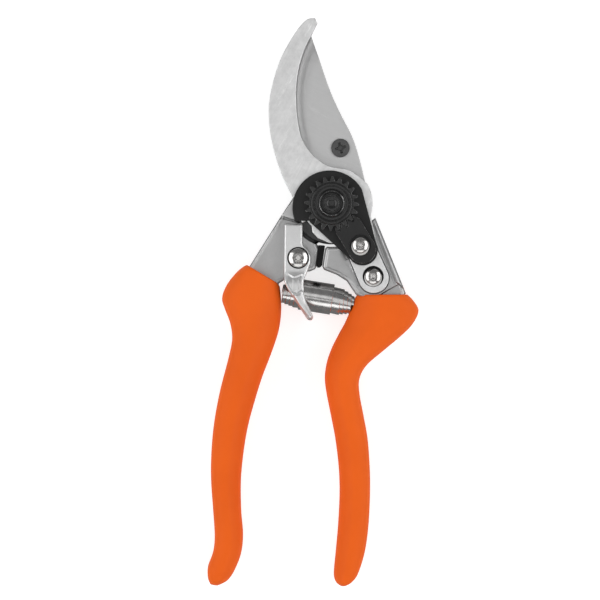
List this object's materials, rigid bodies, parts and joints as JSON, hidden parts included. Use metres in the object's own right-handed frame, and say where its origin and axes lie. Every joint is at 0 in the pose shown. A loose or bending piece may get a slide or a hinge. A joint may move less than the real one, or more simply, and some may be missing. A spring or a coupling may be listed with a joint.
{
  "type": "bypass pruner",
  "caption": "Hand pruner with a curved cutting blade that passes a hooked counter-blade, toothed pivot nut, volute return spring, thumb latch and dipped grips.",
  "frame": {"origin": "on the pivot axis, at the flat underside of the pivot bolt's head", "axes": "+Y from the pivot towards the blades' tips, +Z from the back to the front face with the toothed nut, +X towards the hook-side handle"},
  "size_m": [0.0792, 0.2147, 0.0219],
  "materials": {
    "hook_steel": "satin ground face",
    "blade_steel": "polished, ground bevel",
    "cast_alloy": "satin forging, bright edges",
    "black_oxide": "black semi-gloss",
    "bright_steel": "nickel plated",
    "bush_steel": "turned",
    "spring_steel": "polished strip",
    "orange_vinyl": "dipped vinyl, satin",
    "black_rubber": "matte"
  },
  "bodies": {
    "hook_side": {"hook_blade": "hook_steel", "hook_handle_core": "cast_alloy", "hook_handle_grip": "orange_vinyl", "pivot_bolt": "black_oxide", "bolt_washer": "bright_steel", "cover_plate": "black_oxide", "toothed_nut": "black_oxide", "locking_segment": "black_oxide", "locking_screw": "bright_steel", "locking_screw_washer": "bright_steel", "hook_screw": "bright_steel", "hook_screw_washer": "bright_steel", "hook_screw_nut": "bright_steel", "volute_spring": "spring_steel"},
    "blade_side": {"cutting_blade": "blade_steel", "blade_handle_core": "cast_alloy", "blade_handle_grip": "orange_vinyl", "pivot_bush": "bush_steel", "blade_screw": "black_oxide", "latch_screw": "bright_steel", "latch_screw_nut": "bright_steel", "stop_bumper": "black_rubber"},
    "latch": {"thumb_latch": "cast_alloy"}
  },
  "joints": [
    {"name": "pivot", "type": "hinge", "parent": "hook_side", "child": "blade_side", "pos_m": [0, 0, 0.0106], "axis": [0, 0, -1], "range_deg": [0, 35], "deforming": ["volute_spring"]},
    {"name": "latch_pivot", "type": "hinge", "parent": "blade_side", "child": "latch", "pos_m": [-0.0126, -0.0204, 0.0137], "axis": [0, 0, -1], "range_deg": [0, 12.5]}
  ]
}
